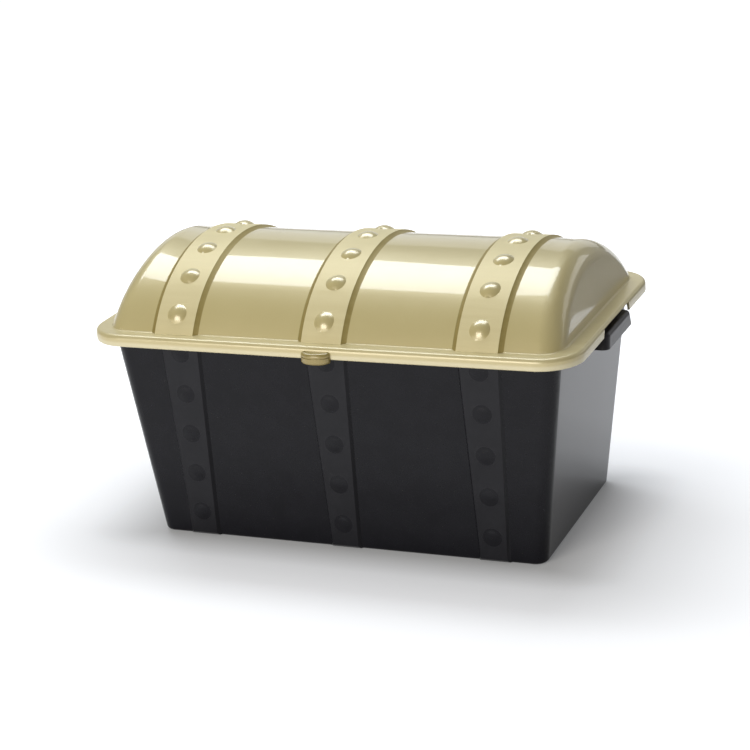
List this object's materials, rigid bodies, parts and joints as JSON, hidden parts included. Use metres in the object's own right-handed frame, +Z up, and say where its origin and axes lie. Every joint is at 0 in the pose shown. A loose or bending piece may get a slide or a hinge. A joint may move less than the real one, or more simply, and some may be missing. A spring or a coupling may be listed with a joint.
{
  "type": "treasure chest storage box",
  "caption": "Moulded toy chest with a tapered tub, an arched lid on rear hinges, raised straps with domed studs, a front lift tab and finger grips on both ends.",
  "frame": {"origin": "on the floor, under the middle of the tub", "axes": "+X to the right along the long side, +Y to the back where the hinges are, +Z up"},
  "size_m": [0.6094, 0.3754, 0.3497],
  "materials": {
    "tub_black": "glossy panels, fine-grained matte bands",
    "lid_gold": "metallic champagne gold, glossy panels, satin straps",
    "grip_black": "satin",
    "hinge_black": "fine-grained matte",
    "steel": "zinc plated"
  },
  "bodies": {
    "tub_body": {"tub": "tub_black", "grip_left": "grip_black", "grip_right": "grip_black", "hinge_base_left": "hinge_black", "hinge_base_right": "hinge_black", "hinge_pin_left": "steel", "hinge_pin_right": "steel", "tub_hinge_screws": "steel"},
    "lid_body": {"lid": "lid_gold", "lift_tab": "lid_gold", "hinge_leaf_left": "hinge_black", "hinge_leaf_right": "hinge_black", "lid_hinge_screws": "steel"}
  },
  "joints": [
    {"name": "lid_hinge", "type": "hinge", "parent": "tub_body", "child": "lid_body", "pos_m": [0, 0.178, 0.253], "axis": [-1, 0, 0], "range_deg": [0, 105]}
  ]
}
